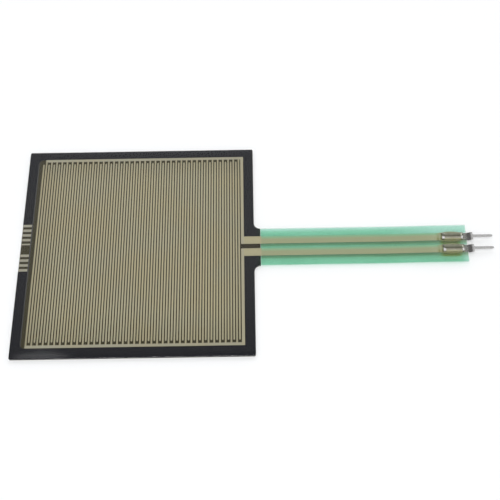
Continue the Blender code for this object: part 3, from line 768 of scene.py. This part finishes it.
def silverMaterial():
    # Screen-printed silver: fine flake grain, slow warm and cool patches, the shades over the square, and
    # green showing through on the tail, most along a trace's thin +Y side. Round a contact a painted shadow
    # darkens it, deepest on the -Y side, leaving out a thin line at the edge of the contact's plate, which
    # shows lighter.
    finish = Finish("silverInk")
    x, y = finish.axes()
    grain = finish.noise(*silver["grain"])
    cloud = finish.noise(*silver["cloud"])
    colour = finish.mix(finish.ramp(cloud, *cloudSpan), silver["colour"], silver["warm"])
    low, high = silver["greenFade"]
    onTail = finish.ramp(x, coatLow.x + low, coatLow.x + high)
    colour = finish.mix(onTail, colour, silver["overGreen"])
    colour = finish.mix(1.0, colour, barShades(finish, x, y), "MULTIPLY")

    low, high = silver["farEdgeRun"]
    beforePads = finish.ramp(x, coat["padStart"] + low, coat["padStart"] + high, 1.0, 0.0)
    coated = finish.times(onTail, beforePads)
    # painted shadow round each contact, deepest on its -Y side, less a thin line at the plate's edge
    darkShare = silver["markShare"]
    for middle in tabMiddles:
        begin, full, low, high = (middle + reach for reach in silver["farEdgeSide"] + silver["farEdgeStop"])
        farSide = finish.times(finish.ramp(y, begin, full), finish.ramp(y, low, high, 1.0, 0.0))
        colour = finish.mix(finish.times(coated, farSide), colour, silver["farEdge"])
        darkShare = finish.math("MAXIMUM", darkShare, finish.band(y, *silver["markSide"], middle))
    lead, ease = silver["markRun"]
    drawn = finish.band(x, tab["start"] + lead, tailEndX, ease)
    unshaded = finish.band(x, *silver["pressedLine"], tab["start"])
    shadowMask = finish.times(drawn, finish.math("SUBTRACT", darkShare, unshaded))
    colour = finish.mix(finish.math("MAXIMUM", shadowMask, 0.0), colour, silver["contactMark"])
    shade = finish.grey(finish.ramp(grain, *noiseSpan, *silver["grainShades"]))
    colour = finish.mix(1.0, colour, shade, "MULTIPLY")
    bump = finish.bump(grain, *silver["grainBump"])
    return finish.done(finish.principled(baseColor=colour, roughness=silver["roughness"],
                                         specularIorLevel=0.0, normal=bump))


# Black print and glue

ink = {
    "colour": (0.034, 0.027, 0.006),
    "between": (0.022, 0.014, 0.0),            # painted shade: darker in the narrow gaps between the fingers
    "fieldReach": 18.7 * mm,       # of those gaps, along y
    "fieldLeft": 19.1 * mm,        # and along -x
    "fieldEase": 0.2 * mm,
    "grain": (0.04 * mm, 4.0),
    "grainBump": (0.3, 0.002 * mm),
    "roughness": (0.5, 0.75),
    "gloss": 0.15,
    "line": (0.055, 0.055, 0.053),
    "lineRun": (0.02 * mm, 0.16 * mm, 0.08 * mm),      # from the window's left edge
}

glue = {
    "colour": (0.006, 0.006, 0.010),
    "streak": (0.012, 0.012, 0.014),
    "streaks": (2.5 * mm, 3.0, (1.0, 5.0, 1.0)),
    "streakShare": 0.5,
    "roughness": 0.55,
    "rootTint": (0.008, 0.016, 0.012),
    "rootFade": (-0.9 * mm, -0.2 * mm),        # from the end of the root tab
}


def inkMaterial():
    # Matt carbon ink, with painted shade in the gaps between the fingers, and a thin paler line along the
    # window's left edge.
    finish = Finish("carbonInk")
    x, y = finish.axes()
    grain = finish.noise(*ink["grain"])
    reach, left, ease = ink["fieldReach"], -ink["fieldLeft"], ink["fieldEase"]
    field = finish.times(finish.ramp(x, left - ease, left), finish.band(y, -reach, reach, ease, printMiddleY))
    # painted shade in the gaps between the fingers
    colour = finish.mix(field, ink["colour"], ink["between"])
    line = finish.band(x, *ink["lineRun"], film["windowLeft"] - halfSide)
    colour = finish.mix(line, colour, ink["line"])
    rough = finish.ramp(grain, *noiseSpan, *ink["roughness"])
    bump = finish.bump(grain, *ink["grainBump"])
    return finish.done(finish.principled(baseColor=colour, roughness=rough,
                                         specularIorLevel=ink["gloss"], normal=bump))


def glueMaterial():
    # Black spacer glue seen through the film, with faint streaks, and a green cast at the tail's root.
    finish = Finish("spacerGlue")
    x = finish.axes()[0]
    streaked = finish.ramp(finish.noise(*glue["streaks"]), *noiseSpan, 0.0, glue["streakShare"])
    colour = finish.mix(streaked, glue["colour"], glue["streak"])
    low, high = glue["rootFade"]
    colour = finish.mix(finish.ramp(x, rootEndX + low, rootEndX + high), colour, glue["rootTint"])
    return finish.done(finish.principled(baseColor=colour, roughness=glue["roughness"],
                                         specularIorLevel=0.0))


# Base film, rear glue and liner paper

backing = {
    # base film and rear glue: a colour, a paler one, the cloud's noise and the roughness
    "base": ((0.018, 0.018, 0.020), (0.026, 0.026, 0.028), (3.0 * mm, 3.0), 0.35),
    "glue": ((0.60, 0.59, 0.55), (0.68, 0.67, 0.62), (1.2 * mm, 3.0), 0.4),
    "paper": (0.82, 0.80, 0.74),
    "paperRoughness": 0.6,
    "fibre": (0.70, 0.67, 0.60),
    "fibres": ((0.9 * mm, 4.0, (1.0, 9.0, 1.0)), (0.9 * mm, 4.0, (9.0, 1.0, 1.0))),
    "fibreBump": (0.25, 0.01 * mm),
    "fibreSpan": (0.5, 0.8),       # the fibres begin to show at the first and are full at the second
    "fibreShare": 0.6,
    "mottle": (0.76, 0.74, 0.67),
    "mottleCloud": (5.0 * mm, 3.0),
    "mottleShare": 0.25,
}


def cloudedMaterial(name, colour, pale, cloud, roughness):      # softly clouded between two tones
    finish = Finish(name)
    tone = finish.mix(finish.noise(*cloud), colour, pale)
    return finish.done(finish.principled(baseColor=tone, roughness=roughness))


def paperMaterial():
    # Coated liner paper: long faint fibres in two directions over a soft mottle.
    finish = Finish("linerPaper")
    fibres = finish.math("MAXIMUM", *[finish.noise(*way) for way in backing["fibres"]])
    shown = finish.ramp(fibres, *backing["fibreSpan"], 0.0, backing["fibreShare"])
    colour = finish.mix(shown, backing["paper"], backing["fibre"])
    mottled = finish.ramp(finish.noise(*backing["mottleCloud"]), *cloudSpan, 0.0, backing["mottleShare"])
    colour = finish.mix(mottled, colour, backing["mottle"])
    bump = finish.bump(fibres, *backing["fibreBump"])
    shader = finish.principled(baseColor=colour, roughness=backing["paperRoughness"], normal=bump)
    return finish.done(shader)


def dressLayers():
    ventBars = [name for name in nodes if name.startswith("vent_bar")]
    dress(["left_electrode_comb", "right_electrode_comb"] + ventBars, silverMaterial())
    dress(["semiconductive_ink"], inkMaterial())
    dress(["left_spacer", "right_spacer"], glueMaterial())
    dress(["semiconductive_film"], cloudedMaterial("basePolyester", *backing["base"]))
    dress(["rear_adhesive"], cloudedMaterial("rearGlue", *backing["glue"]))
    dress(["release_liner"], paperMaterial())


# Camera, floor and light

camera = {
    "lens": 71.084,
    "turn": (-0.4973, -0.00278, 0.0162),              # the object's turn as the camera sees it
    "offset": (-21.066 * mm, 0.285 * mm, -184.25 * mm),
    "clipStart": 0.01,
}

studio = {
    "floorSize": 4.0,
    "floorDrop": 0.02 * mm,
    "floorColour": (0.86, 0.86, 0.86),
    "floorPale": (0.865, 0.865, 0.865),
    "floorGrain": (4.0 * mm, 2.0),
    "floorGlow": 0.14,             # brings the lit floor to white where the camera sees it
    "lampPlace": (0.02, -0.1, 0.75),
    "lampSize": 0.5,
    "lampPower": 1.9,
    "sky": ((-1.0, 1.0), (-0.3, 0.6), (0.0, 0.4), (0.36, 0.36), (0.454, 0.68), (0.505, 0.78), (0.56, 0.8),
            (0.62, 1.5), (1.0, 1.6)),          # places along Y, and how bright each is
    "skyTint": (0.97, 0.985, 1.0),
    "horizon": (0.06, 0.22),                   # the white ends between these heights
    # each glow: the point in whose mirror it stands, its radius in degrees and its strength
    "glows": (((62.0 * mm, 4.5 * mm), 2.9, 0.6), ((-16.0 * mm, -25.2 * mm), 1.3, 1.1)),
    "glowEdges": (1.5, 0.3),                   # a glow fades in between these shares of its radius
}


def makeCamera():
    # The object's turn and offset in the camera's frame are turned round to give the camera's own place.
    turn = Euler(camera["turn"], "XYZ").to_matrix().to_4x4()
    seen = Matrix.Translation(camera["offset"]) @ turn
    made = bpy.data.cameras.new("photoCamera")
    made.lens = camera["lens"]
    made.clip_start = camera["clipStart"]
    holder = bpy.data.objects.new("photoCamera", made)
    holder.matrix_world = Matrix.Translation((0.0, 0.0, filmZ + filmThickness)) @ seen.inverted()
    bpy.context.scene.collection.objects.link(holder)
    bpy.context.scene.camera = holder
    return holder.matrix_world.translation.copy()


def makeFloor():
    finish = Finish("paleFloor")
    path = finish.add("ShaderNodeLightPath").outputs
    seen = finish.math("MAXIMUM", finish.math("MAXIMUM", path["Is Camera Ray"], path["Is Glossy Ray"]),
                       path["Is Transmission Ray"])
    grain = finish.noise(*studio["floorGrain"])
    colour = finish.mix(grain, studio["floorColour"], studio["floorPale"])
    glow = finish.times(seen, studio["floorGlow"])
    shader = finish.principled(baseColor=colour, roughness=1.0, specularIorLevel=0.0,
                               emissionColor=(1.0, 1.0, 1.0), emissionStrength=glow)
    reach, z = studio["floorSize"] / 2, -studio["floorDrop"]
    corners = np.array([[-reach, -reach, z], [reach, -reach, z], [reach, reach, z], [-reach, reach, z]])
    addPiece("floor", corners, np.array([[0, 1, 2, 3]]), [finish.done(shader)])


def makeLamp():
    made = bpy.data.lights.new("softLamp", "AREA")
    made.shape = "DISK"
    made.size = studio["lampSize"]
    made.energy = studio["lampPower"]
    holder = bpy.data.objects.new("softLamp", made)
    holder.location = studio["lampPlace"]
    bpy.context.scene.collection.objects.link(holder)


def makeWorld(eye):
    # Brightness by direction: a stepped rise along Y, a white horizon, and soft glows placed where the film
    # mirrors them to the camera, each at the direction from the eye to a point on the film, turned up.
    world = bpy.data.worlds.new("studio")
    world.use_nodes = True
    bpy.context.scene.world = world
    tree = world.node_tree
    tree.nodes.clear()

    def add(kind, inputs=(), **settings):
        node = tree.nodes.new(kind)
        for key, value in settings.items():
            setattr(node, key, value)
        for socket, value in zip(node.inputs, inputs):
            if isinstance(value, bpy.types.NodeSocket):
                tree.links.new(value, socket)
            else:
                socket.default_value = value
        return node

    direction = add("ShaderNodeTexCoord").outputs["Generated"]
    split = add("ShaderNodeSeparateXYZ", [direction]).outputs
    along = add("ShaderNodeMapRange", [split["Y"], -1.0, 1.0, 0.0, 1.0]).outputs[0]
    steps = add("ShaderNodeValToRGB", [along])
    stops = steps.color_ramp.elements
    for skyStop in studio["sky"][1:-1]:      # a new ramp has its first and last stop already
        stops.new(0.5 + skyStop[0] / 2)
    for stop, skyStop in zip(stops, studio["sky"]):
        stop.color = (*[skyStop[1]] * 3, 1.0)
    low, high = studio["horizon"]
    above = add("ShaderNodeMapRange", [split["Z"], low, high, 1.0, 0.0],
                interpolation_type="SMOOTHSTEP").outputs[0]
    level = add("ShaderNodeMath", [steps.outputs[0], above], operation="MAXIMUM").outputs[0]
    for (x, y), radius, strength in studio["glows"]:
        way = Vector((x, y, filmZ + filmThickness)) - eye
        way.z = -way.z
        dot = add("ShaderNodeVectorMath", [direction, way.normalized()], operation="DOT_PRODUCT")
        edge, core = (math.cos(math.radians(share * radius)) for share in studio["glowEdges"])
        glow = add("ShaderNodeMapRange", [dot.outputs["Value"], edge, core, 0.0, strength],
                   interpolation_type="SMOOTHSTEP").outputs[0]
        level = add("ShaderNodeMath", [level, glow], operation="ADD").outputs[0]
    background = add("ShaderNodeBackground", [(*studio["skyTint"], 1.0), level])
    add("ShaderNodeOutputWorld", [background.outputs[0]])


bpy.context.scene.view_settings.view_transform = "Standard"
eye = makeCamera()
makeWorld(eye)
makeLamp()
makeFloor()
print("camera, floor and light made")

dressLayers()
print("flat layers finished")

clearFilm()
greenCoat()
print("film and green print made")

tin = tinMaterial()
contact("tabLeft", "left_solder_tab", tin)
contact("tabRight", "right_solder_tab", tin)
print("contacts made")
